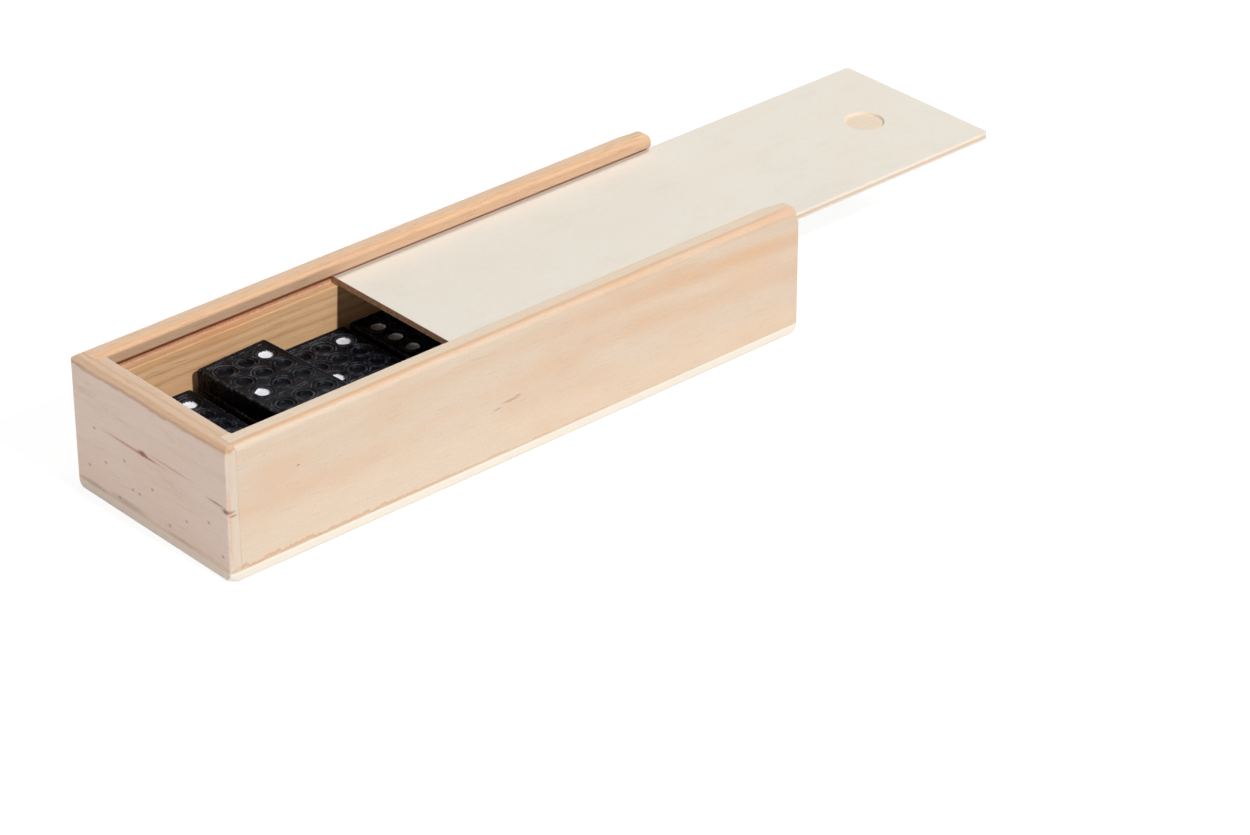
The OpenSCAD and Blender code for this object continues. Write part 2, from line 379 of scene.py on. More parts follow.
def glue_stain(tree, place):
    """1 where glue has crept up from the bottom panel: a strip just above it whose upper border is
    ragged noise along the board. It is higher and darker towards the closed end."""
    x, y, z = axes(tree, place)
    ragged = noise(tree, turn(tree, "MULTIPLY", place, (1, 1, 0)), 0.5, 5, 0.65)
    nearer = ease(tree, x, 50, -72)
    swell = calc(tree, "MULTIPLY", ragged, calc(tree, "MULTIPLY_ADD", nearer, 1.7, 1.4))
    over = calc(tree, "SUBTRACT", z, calc(tree, "ADD", swell, BOTTOM_TOP - 0.7))
    strip = calc(tree, "MULTIPLY", ease(tree, over, 0.35, -0.1), ease(tree, over, -1.4, -0.1))
    return calc(tree, "MULTIPLY", strip, calc(tree, "MULTIPLY_ADD", nearer, 0.5, 0.5))


def pine(name, along, pith, ring_width, bend, pale, tan, warm, contrast, bands=(), marks=(), glue=0.0,
         hairs=0.16, fibres=0.2):
    """Sanded pine. along is the axis of the grain, 0 or 1, pale and tan are the early and late wood,
    and warm tints broad patches. Each band has a colour, a strength and the grain_band group's values,
    and each mark a centre, a half size, a colour and a strength. glue is how dark the glue's stain is,
    and hairs and fibres are how dark the coarser and the finer lines along the grain are."""
    material, tree, shader, place = new_material(name)
    lengthwise = place
    if along == 1:
        x, y, z = axes(tree, place)
        lengthwise = put(tree, "ShaderNodeCombineXYZ", (y, x, z))
    wood = use_group(tree, GROWTH_RINGS, Place=lengthwise, Pith=pith, Ring_Width=ring_width, Bend=bend)
    colour = mix(tree, calc(tree, "MULTIPLY", wood["Rings"], contrast), pale, tan)
    colour = mix(tree, ease(tree, wood["Patches"], 0.42, 0.72, 0.0, 0.75), colour, warm)
    for band_colour, strength, values in bands:
        mask = use_group(tree, GRAIN_BAND, Place=lengthwise, **values)["Mask"]
        colour = mix(tree, calc(tree, "MULTIPLY", mask, strength), colour, band_colour)
    fine = ease(tree, wood["Fibres"], 0.5, 0.78, 0.0, fibres)
    colour = mix(tree, fine, colour, srgb(186, 142, 104), "MULTIPLY")
    colour = mix(tree, calc(tree, "MULTIPLY", wood["Hairs"], hairs), colour, srgb(182, 138, 108))
    mottle = noise(tree, turn(tree, "MULTIPLY", lengthwise, (0.5, 1.0, 1.0)), 3.4, 4, 0.7)
    colour = mix(tree, ease(tree, mottle, 0.46, 0.7, 0.0, 0.2), colour, srgb(222, 190, 160), "MULTIPLY")
    end_grain = facing(tree, along)
    pores = ease(tree, noise(tree, place, 5.0, 2), 0.45, 0.75, 0.0, 0.35)
    cut_end = mix(tree, pores, srgb(223, 207, 190), srgb(202, 178, 154))
    colour = mix(tree, calc(tree, "MULTIPLY", end_grain, 0.75), colour, cut_end)
    for centre, half_size, mark_colour, strength in marks:
        mask = use_group(tree, WOOD_MARK, Place=place, Centre=centre, Half_Size=half_size)["Mask"]
        colour = mix(tree, calc(tree, "MULTIPLY", mask, strength), colour, mark_colour)
    stain = calc(tree, "MULTIPLY", glue_stain(tree, place), glue)
    colour = mix(tree, stain, colour, srgb(206, 158, 116))
    tree.links.new(colour, shader.inputs["Base Color"])
    tree.links.new(ease(tree, wood["Rings"], 0.0, 1.0, 0.62, 0.5), shader.inputs["Roughness"])
    shader.inputs["Specular IOR Level"].default_value = 0.3
    raise_grain(tree, shader, wood["Fibres"], 0.03, 0.6)
    return material


def plywood(name, underside, thickness, veneer, face, core, core_edge, seam, end, browned):
    """Unfinished plywood, with its pale veneers over a darker core, as a solid pattern in height. core
    is the core's colour where it is cut flat, core_edge at a sawn edge and on the sanded arcs, and seam
    tints its streaks and the glue seams. browned is how far the ends have the colour end."""
    material, tree, shader, place = new_material(name)
    ply = use_group(tree, PLY_LAYERS, Place=place, Underside=underside, Thickness=thickness, Veneer=veneer)
    clouds = noise(tree, turn(tree, "MULTIPLY", place, (0.5, 1.0, 1.0)), 0.11, 4, 0.55)
    inner = mix(tree, facing(tree, 2), core_edge, core)
    surface = mix(tree, ease(tree, clouds, 0.35, 0.7, 0.0, 0.4), face, mix(tree, 0.4, face, core))
    surface = mix(tree, ease(tree, ply["Fuzz"], 0.45, 0.8, 0.0, 0.25), surface, srgb(214, 203, 184))
    grey = noise(tree, turn(tree, "MULTIPLY", place, (0.6, 1.0, 1.0)), 0.16, 5, 0.65)
    surface = mix(tree, ease(tree, grey, 0.52, 0.72, 0.0, 0.2), surface, srgb(216, 211, 198))
    colour = mix(tree, ply["Core"], surface, inner)
    streaks = noise(tree, turn(tree, "MULTIPLY", place, (1.0, 0.2, 1.0)), 2.4, 3, 0.6)
    deep = calc(tree, "MULTIPLY", ply["Core"], ease(tree, streaks, 0.4, 0.8, 0.0, 0.22))
    colour = mix(tree, deep, colour, seam)
    colour = mix(tree, calc(tree, "MULTIPLY", ply["Seam"], 0.2), colour, seam)
    rounded = calc(tree, "SUBTRACT", 1.0, calc(tree, "MAXIMUM", facing(tree, 2), facing(tree, 1)))
    colour = mix(tree, calc(tree, "MULTIPLY", rounded, 0.5), colour, core_edge)
    sawn = ease(tree, noise(tree, place, 1.6, 4, 0.7), 0.3, 0.7, 0.65, 1.0)
    brown = calc(tree, "MULTIPLY", calc(tree, "MULTIPLY", facing(tree, 0), sawn), browned)
    colour = mix(tree, brown, colour, end)
    tree.links.new(colour, shader.inputs["Base Color"])
    shader.inputs["Roughness"].default_value = 0.7
    shader.inputs["Specular IOR Level"].default_value = 0.25
    raise_grain(tree, shader, ply["Fuzz"], 0.04, 0.6)
    return material


def black_stain():
    """Black stained wood with white paint in the chosen dimples. The mesh attribute on_tile is a
    point's place on its own tile in millimetres, and paint is how far inside a painted dimple it lies.
    The place is folded to the nearest of a half's nine dimples, and the distance from there gives each
    ring and its lips. The lips, the pressed lines' borders and the upper edges are lightened grey, partly
    as rubbed wear and partly as painted glints. The skin is finely puckered over grain along the tile,
    and the sawn sides have upright lines."""
    material, tree, shader, place = new_material("black_stain")
    x, y, z = axes(tree, put(tree, "ShaderNodeAttribute", out=1, attribute_name="on_tile"))
    off_x = calc(tree, "ABSOLUTE", x)
    off_y = calc(tree, "ABSOLUTE", y)
    to_pip = (to_nearest(tree, x, PIP_ACROSS),
              to_nearest(tree, calc(tree, "SUBTRACT", off_y, HALF_OFFSET), PIP_ALONG), 0.0)
    straight = turn(tree, "LENGTH", put(tree, "ShaderNodeCombineXYZ", to_pip), out=1)
    away = calc(tree, "ADD", straight, calc(tree, "MULTIPLY_ADD", noise(tree, place, 0.8, 2), 0.4, -0.2))
    ring = bell(tree, away, RING_RADIUS, 0.14)
    outer_lip = bell(tree, away, RING_RADIUS + RING_LIP, 0.12)
    inner_lip = calc(tree, "MULTIPLY", bell(tree, away, RING_RADIUS - RING_LIP, 0.12), 0.7)
    dimple_rim = calc(tree, "MULTIPLY", bell(tree, straight, PIP_RIM + 0.08, 0.1), 0.6)
    lips = calc(tree, "MAXIMUM", calc(tree, "MAXIMUM", outer_lip, inner_lip), dimple_rim)

    end_line = calc(tree, "ABSOLUTE", calc(tree, "SUBTRACT", off_y, TILE_SIZE[1] / 2 - END_LINE_INSET))
    to_line = calc(tree, "MINIMUM", off_y, end_line)
    in_line = ease(tree, off_x, LINE_HALF + 0.2, LINE_HALF - 0.2)
    borders = calc(tree, "MULTIPLY", bell(tree, to_line, LINE_BORDER, 0.13), in_line)
    inset = calc(tree, "MINIMUM", calc(tree, "SUBTRACT", TILE_SIZE[0] / 2, off_x),
                 calc(tree, "SUBTRACT", TILE_SIZE[1] / 2, off_y))
    edges = calc(tree, "MULTIPLY", bell(tree, inset, 0.25, 0.22), 0.8)
    upper = ease(tree, z, TILE_SIZE[2] - 1.2, TILE_SIZE[2] - 0.7)
    raised = calc(tree, "MULTIPLY", calc(tree, "MAXIMUM", lips, borders), upper)
    broken = ease(tree, noise(tree, place, 0.55, 4, 0.6), 0.42, 0.66)
    nicked = ease(tree, noise(tree, place, 1.1, 4, 0.7), 0.46, 0.66)
    worn_and_glint = calc(tree, "MAXIMUM", calc(tree, "MULTIPLY", raised, broken),
                calc(tree, "MULTIPLY", calc(tree, "MULTIPLY", edges, upper), nicked))

    grain = noise(tree, turn(tree, "MULTIPLY", place, (1.0, 0.12, 1.0)), 4.5, 4, 0.65)
    patches = noise(tree, place, 0.5, 3, 0.6)
    stain = mix(tree, ease(tree, grain, 0.35, 0.75), srgb(3, 4, 8), srgb(9, 11, 17))
    stain = mix(tree, ease(tree, patches, 0.5, 0.8, 0.0, 0.4), stain, srgb(15, 17, 22))
    # Lips, line borders and upper edges turn grey: partly rubbed wear, partly painted glints
    stain = mix(tree, calc(tree, "MULTIPLY", worn_and_glint, 0.85), stain, srgb(92, 97, 108))
    inside = put(tree, "ShaderNodeAttribute", out=2, attribute_name="paint")
    wander = calc(tree, "MULTIPLY_ADD", noise(tree, place, 2.0, 3), 0.24, -0.12)
    painted = ease(tree, calc(tree, "ADD", inside, wander), -0.03, 0.05)
    thin = ease(tree, noise(tree, place, 3.0, 4, 0.7), 0.6, 0.8, 0.0, 0.35)
    paint = mix(tree, thin, srgb(230, 232, 237), srgb(150, 152, 158))
    tree.links.new(mix(tree, painted, stain, paint), shader.inputs["Base Color"])
    tree.links.new(ease(tree, patches, 0.3, 0.7, 0.24, 0.36), shader.inputs["Roughness"])
    shader.inputs["Specular IOR Level"].default_value = 0.08

    swirl = noise(tree, place, 1.4, 2, 0.5, out=1)
    warped = turn(tree, "MULTIPLY_ADD", swirl, (0.5, 0.5, 0.5), place)
    cells = put(tree, "ShaderNodeTexVoronoi", named={"Vector": warped, "Scale": 2.4}, feature="SMOOTH_F1")
    pucker = calc(tree, "MULTIPLY", ease(tree, cells, 0.15, 0.75), 0.06)
    fine = calc(tree, "MULTIPLY_ADD", grain, 0.04, pucker)
    pressed = calc(tree, "SUBTRACT", calc(tree, "MULTIPLY", raised, 0.06),
                   calc(tree, "MULTIPLY", calc(tree, "MULTIPLY", ring, upper), 0.08))
    upright = calc(tree, "SUBTRACT", 1.0, facing(tree, 2))
    saw = noise(tree, turn(tree, "MULTIPLY", place, (1.0, 1.0, 0.08)), 2.6, 3, 0.6)
    sawn = calc(tree, "MULTIPLY", calc(tree, "MULTIPLY", saw, upright), 0.05)
    height = calc(tree, "ADD", calc(tree, "ADD", fine, pressed), sawn)
    bare = calc(tree, "MULTIPLY", height, calc(tree, "SUBTRACT", 1.0, painted))
    raise_grain(tree, shader, bare, SKIN_RELIEF, 0.9)
    return material


# Box boards

BOTTOM_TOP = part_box("bottom_panel")[1].z / MM
LID_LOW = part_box("lid")[0].z / MM
LID_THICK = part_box("lid")[1].z / MM - LID_LOW
END_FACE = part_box("closed_end")[0].x / MM
FRONT_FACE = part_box("front_side")[0].y / MM

# The back side's groove: how far back its floor is and how high its middle
GROOVE_FLOOR = 22.1
GROOVE_MIDDLE = 25.9

RESIN = srgb(134, 74, 54)
PIN_KNOT = srgb(166, 128, 108)
LOW_GREY = srgb(168, 148, 136)
RED_STREAK = srgb(186, 120, 92)
LATE_WOOD = srgb(216, 184, 151)
ORANGE_WOOD = srgb(226, 176, 130)
PALE_PINE = srgb(238, 218, 194)


def end_mark(y, z, long, high, colour, strength):
    """A mark on the closed end's outer face, drawn out along the grain."""
    return ((END_FACE, y, z), (3.0, long, high), colour, strength)


def front_mark(x, z, long, high, colour, strength):
    """A mark on the front side's outer face, drawn out along the grain."""
    return ((x, FRONT_FACE, z), (long, 3.0, high), colour, strength)


def band(colour, strength, across, offset, half_width, soft=0.5, waves=0.5, faint=-1000.0, full=-999.0):
    """A sheet of other wood in a board, with the grain_band group's values. In across, the first axis
    is the grain's."""
    return (colour, strength, {"Across": across, "Offset": offset, "Half_Width": half_width, "Soft": soft,
                               "Waves": waves, "Faint": faint, "Full": full})


END_MARKS = [
    end_mark(5, 17.3, 15, 0.6, RED_STREAK, 0.65), end_mark(2.1, 17.6, 2.2, 0.95, RESIN, 0.85),
    end_mark(1.2, 17.3, 5, 0.5, srgb(146, 92, 70), 0.55), end_mark(-7, 18.3, 10, 0.45, RED_STREAK, 0.45),
    end_mark(-21.2, 16.9, 4.6, 0.5, RESIN, 0.55), end_mark(-24.2, 16.2, 1.9, 0.8, RESIN, 0.85),
    ((-73.9, FRONT_FACE, 15.3), (1.5, 1.8, 0.45), RESIN, 0.6),
    ((-73.9, FRONT_FACE, 29.3), (1.3, 2.0, 0.7), srgb(196, 148, 108), 0.6),
    ((END_FACE + 0.5, FRONT_FACE + 0.4, 15), (0.3, 0.8, 17), srgb(206, 164, 126), 0.5),
    # Greyer patches low on the closed end, just above the bottom
    end_mark(19, 3.1, 8, 0.9, LOW_GREY, 0.55), end_mark(8, 3.6, 9, 1.2, LOW_GREY, 0.5),
    end_mark(-9, 3.1, 9, 0.7, LOW_GREY, 0.4),
]
END_SPECKS = [(18, 16.5), (20.4, 7.1), (14.8, 10), (8.4, 13.2), (6.1, 7.7), (10.7, 3.9), (3.9, 7.6),
              (-0.5, 10.6), (-5.7, 4.9), (-11.3, 8.3), (-18.5, 11.3), (-22.6, 5.5)]
END_MARKS += [end_mark(y, z, 0.75, 0.55, PIN_KNOT, 0.7) for y, z in END_SPECKS]
END_BANDS = [
    band(LATE_WOOD, 0.75, (0, 0, 1), 31.2, 2.4, 0.35, 0.9),
    band(srgb(222, 200, 180), 0.55, (0, 1, 0), -70.2, 1.0, 0.6, 0.4),
    band(LATE_WOOD, 0.22, (0.03, 0, 1), 22.6, 0.5, 0.8, 1.2),
    band(LATE_WOOD, 0.15, (0.05, 0, 1), 13.0, 0.8, 0.8, 1.4),
    band(srgb(186, 136, 100), 0.5, (0.01, 0, 1), 29.0, 0.35, 0.8, 1.1),
    band(srgb(198, 150, 112), 0.45, (0, 1, 0), -74.2, 0.35, 0.8, 0.8),
    band(srgb(204, 158, 120), 0.4, (0.01, 1, 0), -72.4, 0.3, 0.8, 1.0),
]
FRONT_MARKS = [
    front_mark(-4.5, 14.1, 3.6, 0.5, RED_STREAK, 0.55), front_mark(-2.6, 14.5, 1.5, 0.3, RESIN, 0.4),
    front_mark(-8.0, 13.3, 2.0, 0.35, RED_STREAK, 0.45),
    front_mark(-58.0, 20.3, 0.7, 0.25, RESIN, 0.8), front_mark(-66, 25.5, 0.5, 0.25, PIN_KNOT, 0.4),
    front_mark(-62, 21, 11, 7, ORANGE_WOOD, 0.2), front_mark(60, 22, 15, 8, ORANGE_WOOD, 0.25),
]
FRONT_BANDS = [
    band(srgb(233, 214, 191), 0.8, (0, 1, 0), -21.6, 1.7, 0.3, 0.3),
    band(ORANGE_WOOD, 0.7, (0, 1, 0), -23.7, 0.6, 0.6, 0.5, 170, -70),
    band(ORANGE_WOOD, 0.35, (0.06, 0, 1), 27.5, 1.6, 0.9, 2.0, -10, 50),
    band(srgb(234, 212, 186), 0.4, (0.06, 0, 1), 24.0, 1.2, 0.9, 2.0, -10, 50),
    band(ORANGE_WOOD, 0.25, (0.05, 0, 1), 19.0, 1.8, 0.9, 2.0, 0, 50),
    band(srgb(222, 172, 134), 0.4, (0, -0.7071, 0.7071), 38.3, 0.4, 0.7, 0.3, -60, 75),
    band(ORANGE_WOOD, 0.16, (0.02, 0, 1), 25.2, 1.0, 0.9, 1.5),
    band(ORANGE_WOOD, 0.12, (-0.03, 0, 1), 17.0, 1.2, 0.9, 2.0),
    band(srgb(232, 210, 182), 0.2, (0.04, 0, 1), 8.0, 2.2, 0.9, 2.0),
]
BACK_BANDS = [
    band(srgb(230, 206, 182), 0.8, (0, 1, 0), 23.6, 2.0, 0.4, 0.4),
    band(srgb(222, 176, 134), 0.4, (0, 1, 0), 20.3, 0.7, 0.6, 0.5),
    band(srgb(200, 140, 90), 0.32, (0.01, 0, 1), 22.6, 0.2, 0.7, 0.45),
    band(srgb(255, 222, 182), 0.45, (0.01, 0, 1), 21.7, 0.35, 0.7, 0.45),
    band(srgb(196, 136, 86), 0.32, (0.01, 0, 1), 20.5, 0.15, 0.7, 0.45),
    band(srgb(255, 216, 174), 0.4, (0.011, 0, 1), 19.4, 0.3, 0.7, 0.5),
    band(srgb(190, 130, 80), 0.32, (0.012, 0, 1), 18.2, 0.3, 0.7, 0.5),
    band(srgb(255, 212, 170), 0.35, (0.012, 0, 1), 17.1, 0.2, 0.7, 0.5),
    band(srgb(242, 224, 198), 0.6, (0, 0, 1), 27.75, 0.3, 0.5, 0.2),
    band(srgb(216, 180, 150), 0.85, (0, 0, 1), 28.5, 1.5, 0.5, 0.3),
    # Painted shade: a thin red-brown line along the lip's lower edge, where the gap over the lid lies in
    # shade
    band(srgb(180, 120, 84), 0.6, (0, 0, 1), 27.35, 0.2, 0.6, 0.1),
]
# The back side's groove is browner along its floor: painted shade in the recess
BACK_GROOVE_SHADE = [((0, GROOVE_FLOOR, GROOVE_MIDDLE), (300, 0.6, 1.9), srgb(176, 108, 68), 0.8)]

MATERIALS = {
    "front_side": pine("pine_front", along=0, pith=(0, 60, 6), ring_width=3.1, bend=6,
                       pale=srgb(224, 205, 184), tan=srgb(217, 188, 159), warm=srgb(222, 193, 164),
                       contrast=0.35, bands=FRONT_BANDS, marks=FRONT_MARKS, glue=0.65),
    "back_side": pine("pine_back", along=0, pith=(0, 44, -26), ring_width=1.9, bend=6,
                      pale=srgb(255, 211, 158), tan=srgb(238, 168, 114), warm=srgb(255, 193, 138),
                      contrast=0.3, bands=BACK_BANDS, marks=BACK_GROOVE_SHADE, glue=0.6, hairs=0.45, fibres=0.5),
    "closed_end": pine("pine_closed_end", along=1, pith=(0, -130, 12), ring_width=1.4, bend=5,
                       pale=srgb(228, 207, 193), tan=srgb(214, 186, 166), warm=srgb(225, 200, 182),
                       contrast=0.22, bands=END_BANDS, marks=END_MARKS, glue=0.3, hairs=0.3),
    "open_end": pine("pine_open_end", along=1, pith=(0, 130, 4), ring_width=2.2, bend=5,
                     pale=PALE_PINE, tan=srgb(222, 190, 158), warm=srgb(234, 204, 172),
                     contrast=0.6, glue=0.5),
    "bottom_panel": plywood("bottom_plywood", underside=0, thickness=BOTTOM_TOP, veneer=0.7,
                            face=srgb(238, 232, 221), core=srgb(236, 225, 208),
                            core_edge=srgb(236, 227, 213), seam=srgb(222, 207, 184),
                            end=srgb(222, 203, 188), browned=0.85),
    # The lid's ends take a dark brown: the cut core's own colour, deepened by painted shade
    "lid": plywood("lid_plywood", underside=LID_LOW, thickness=LID_THICK, veneer=0.45,
                   face=srgb(235, 228, 216), core=srgb(237, 219, 198),
                   core_edge=srgb(226, 200, 174), seam=srgb(226, 196, 168),
                   end=srgb(158, 112, 78), browned=1.0),
}


def at_joint(node, edge):
    """True for an edge of a side that lies in the closed end's inner face, where the side is let in."""
    joint_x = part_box("closed_end")[1].x
    return node in SIDES and all(abs(v.co.x - joint_x) < 0.01 * MM for v in edge.verts)


def lip_end_faces(node, work, whole):
    """The faces of a side that reach above its groove within LIP_END_REACH of the open end. With whole,
    only those that lie in that reach from one end to the other."""
    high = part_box(node)[1]
    above_groove = high.z - (LIP_HIGH - 0.05) * MM
    starts = high.x - LIP_END_REACH * MM
    slack = 0.1 * MM
    chosen = [f for f in work.faces if max(v.co.z for v in f.verts) > above_groove
              and max(v.co.x for v in f.verts) > starts + slack]
    if whole:
        chosen = [f for f in chosen if min(v.co.x for v in f.verts) > starts - slack]
    return chosen


def cut_depths(reach):
    """The fine depths, and then each whole millimetre from 3 to just short of a reach."""
    return FINE_CUTS + list(range(3, int(reach)))


def cut_up_lip_end(node, work):
    """Cuts a side's upper end, at the open end, into small faces, apart from the faces in its groove.
    The first two cuts part the end from the rest of the side."""
    low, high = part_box(node)
    side = math.copysign(1, low.y)
    inner, outer = sorted((abs(low.y), abs(high.y)))
    cuts = [(0, high.x - LIP_END_REACH * MM), (2, high.z - LIP_END_DROP * MM)]
    cuts += [(0, high.x - depth * MM) for depth in cut_depths(LIP_END_REACH)]
    cuts += [(2, high.z - depth * MM) for depth in cut_depths(LIP_END_DROP)]
    cuts += [(1, side * (inner + depth * MM)) for depth in FINE_CUTS]
    cuts += [(1, side * (outer - depth * MM)) for depth in FINE_CUTS]
    for number, (axis, level) in enumerate(cuts):
        spot = Vector((0, 0, 0))
        spot[axis] = level
        way = Vector((0, 0, 0))
        way[axis] = 1
        faces = lip_end_faces(node, work, number > 1)
        edges = list(dict.fromkeys(e for f in faces for e in f.edges))
        verts = list(dict.fromkeys(v for f in faces for v in f.verts))
        near = verts + edges + faces
        bmesh.ops.bisect_plane(work, geom=near, dist=WELD * MM, plane_co=spot, plane_no=way)


def round_lip_end(node, mesh):
    """Moves each point of a side's upper end that lies outside a round-edged block straight onto it. A
    point lies outside by the length of its three distances past the block's core, less the radius. The
    radius grows from the plain edges' to LIP_END_R towards the end and the top."""
    low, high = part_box(node)
    side = math.copysign(1, low.y)
    inner, outer = sorted((abs(low.y), abs(high.y)))
    flat = np.empty(len(mesh.vertices) * 3, np.float32)
    mesh.vertices.foreach_get("co", flat)
    points = flat.reshape(-1, 3).astype(float) / MM
    to_end = high.x / MM - points[:, 0]
    to_top = high.z / MM - points[:, 2]
    to_inner = np.abs(points[:, 1]) - inner / MM
    to_outer = outer / MM - np.abs(points[:, 1])
    is_outer = to_outer < to_inner
    plain = np.where(is_outer, OUTER_EDGE_R, INNER_EDGE_R)
    radius = plain + (LIP_END_R - plain) * smooth_step(to_end, LIP_END_REACH, LIP_END_R)
    upright = UPRIGHT_EDGE_R + (radius - UPRIGHT_EDGE_R) * smooth_step(to_top, LIP_END_DROP, LIP_END_R)
    radius = np.where(is_outer, upright, radius)
    inwards = np.stack([to_end, np.where(is_outer, to_outer, to_inner), to_top], -1)
    past = np.maximum(radius[:, None] - inwards, 0)
    far = np.linalg.norm(past, axis=1)
    outward = past / np.maximum(far, 1e-9)[:, None]
    outward[:, 1] *= side * np.where(is_outer, 1, -1)
    in_lip = to_top < np.where(is_outer, LIP_END_DROP, LIP_HIGH + 0.02)
    over = np.maximum(far - radius, 0) * in_lip * (to_end < LIP_END_REACH)
    points -= outward * over[:, None]
    mesh.vertices.foreach_set("co", (points * MM).astype(np.float32).ravel())


def sanded_board(node):
    """A board with its sharp edges sanded round: the node's merged mesh, with each edge sharper than
    SHARP turned into a small arc, apart from those in a joint. The lips' ends are sanded rounder."""
    work = bmesh.new()
    work.from_mesh(frame["nodes"][node].data)
    bmesh.ops.remove_doubles(work, verts=work.verts, dist=WELD * MM)
    bmesh.ops.dissolve_limit(work, angle_limit=FLAT, verts=work.verts, edges=work.edges)
    sharp = [e for e in work.edges
             if len(e.link_faces) == 2 and e.calc_face_angle() > SHARP and not at_joint(node, e)]
    bmesh.ops.bevel(work, geom=sharp, offset=SANDED * MM, offset_type="OFFSET", segments=3, profile=0.5,
                    affect="EDGES", clamp_overlap=False)
    if node in SIDES:
        cut_up_lip_end(node, work)
    bmesh.ops.recalc_face_normals(work, faces=work.faces)
    mesh = bpy.data.meshes.new(node + "_board")
    work.to_mesh(mesh)
    work.free()
    if node in SIDES:
        round_lip_end(node, mesh)
    mesh.polygons.foreach_set("use_smooth", np.ones(len(mesh.polygons), bool))
    mesh.materials.append(MATERIALS[node])
    board = bpy.data.objects.new(node + "_board", mesh)
    bpy.context.scene.collection.objects.link(board)
    weighted = board.modifiers.new("even shading", "WEIGHTED_NORMAL")
    weighted.keep_sharp = True
    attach(board, frame["nodes"][node]["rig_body"])
    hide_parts(node)
    return board


# Tiles

def value_noise(rng, x, y, size_x, size_y):
    """Noise from -1 to 1 over whole arrays: random values on a lattice of the given cell size, blended
    between its corners by an S curve."""
    u = (x - x.min()) / size_x
    v = (y - y.min()) / size_y
    lattice = rng.uniform(-1, 1, (int(v.max()) + 2, int(u.max()) + 2))
    column = u.astype(int)
    row = v.astype(int)
    s = smooth_step(u - column, 0, 1)
    t = smooth_step(v - row, 0, 1)
    low = lattice[row, column] * (1 - s) + lattice[row, column + 1] * s
    high = lattice[row + 1, column] * (1 - s) + lattice[row + 1, column + 1] * s
    return low * (1 - t) + high * t


def groove(distance, half_width):
    """Depth share of a soft-edged groove: a bell curve of the distance from its middle line."""
    return np.exp(-((distance / half_width) ** 2))


def pressed_face(rng, x, y, length, back, front):
    """Relief of a tile's face in millimetres, and how far inside a painted dimple each point lies. Each
    half has nine flat-floored dimples with a broken ring round each. Lines are pressed across the
    middle, near both ends and, faintly, along the long sides. Noise drawn out along the tile stands for
    raised grain."""
    relief = np.zeros_like(x)
    paint = np.full_like(x, -1.0)
    for half, count in ((1, back), (-1, front)):
        for row in (-1, 0, 1):
            for column in (-1, 0, 1):
                middle_x = column * PIP_ACROSS + rng.uniform(-PIP_SHIFT, PIP_SHIFT)
                middle_y = half * HALF_OFFSET + row * PIP_ALONG + rng.uniform(-PIP_SHIFT, PIP_SHIFT)
                away = np.hypot(x - middle_x, y - middle_y)
                angle = np.arctan2(y - middle_y, x - middle_x)
                lobes = rng.uniform(0, 2 * math.pi, 3)
                uneven = 0.05 * np.sin(2 * angle + lobes[0]) + 0.03 * np.sin(5 * angle + lobes[1])
                rim = away + uneven
                relief -= PIP_DEPTH * (1 - smooth_step(rim, PIP_FLOOR, PIP_RIM))
                broken = 0.65 + 0.35 * np.sin(angle + lobes[2]) + 0.2 * np.sin(3 * angle + lobes[1])
                ring = groove(away - RING_RADIUS, RING_HALF_WIDTH)
                ring -= 0.45 * groove(away - RING_RADIUS - 0.27, RING_HALF_WIDTH)
                relief -= RING_DEPTH * np.clip(broken, 0.15, 1) * ring
                relief += 0.05 * groove(away - PIP_RIM - 0.15, 0.15)
                relief -= 0.05 * (1 - smooth_step(away, RING_RADIUS - 0.2, RING_RADIUS + 0.1))
                if (column, row) in PIP_SPOTS[count]:
                    paint = np.maximum(paint, PIP_RIM - 0.08 - rim)
    across = smooth_step(np.abs(x), LINE_HALF + 0.3, LINE_HALF - 0.3)
    for line_y in (0, length / 2 - END_LINE_INSET, END_LINE_INSET - length / 2):
        wander = 0.08 * value_noise(rng, x, y, 2.5, length)
        depth = LINE_DEPTH * (0.75 + 0.35 * value_noise(rng, x, y, 1.2, length))
        relief -= depth * across * groove(y - line_y + wander, LINE_HALF_WIDTH)
    along = smooth_step(np.abs(y), length / 2 - 1.2, length / 2 - 2.2) * smooth_step(np.abs(y), 0.4, 1.4)
    depth = 0.07 * (0.8 + 0.5 * value_noise(rng, x, y, 3, 2.5))
    relief -= depth * along * groove(np.abs(x) - LINE_HALF - 0.35, LINE_HALF_WIDTH)
    relief += 0.022 * value_noise(rng, x, y, 0.45, 6) + 0.018 * value_noise(rng, x, y, 0.9, 2.2)
    relief += 0.03 * value_noise(rng, x, y, 1.7, 1.7)
    return relief - max(relief.max(), 0), paint


def border(rows, columns):
    """Index of each border point of a grid, anticlockwise."""
    low = np.arange(columns - 1)
    right = np.arange(rows - 1) * columns + columns - 1
    high = rows * columns - 1 - np.arange(columns - 1)
    left = (rows - 1 - np.arange(rows - 1)) * columns
    return np.concatenate([low, right, high, left])


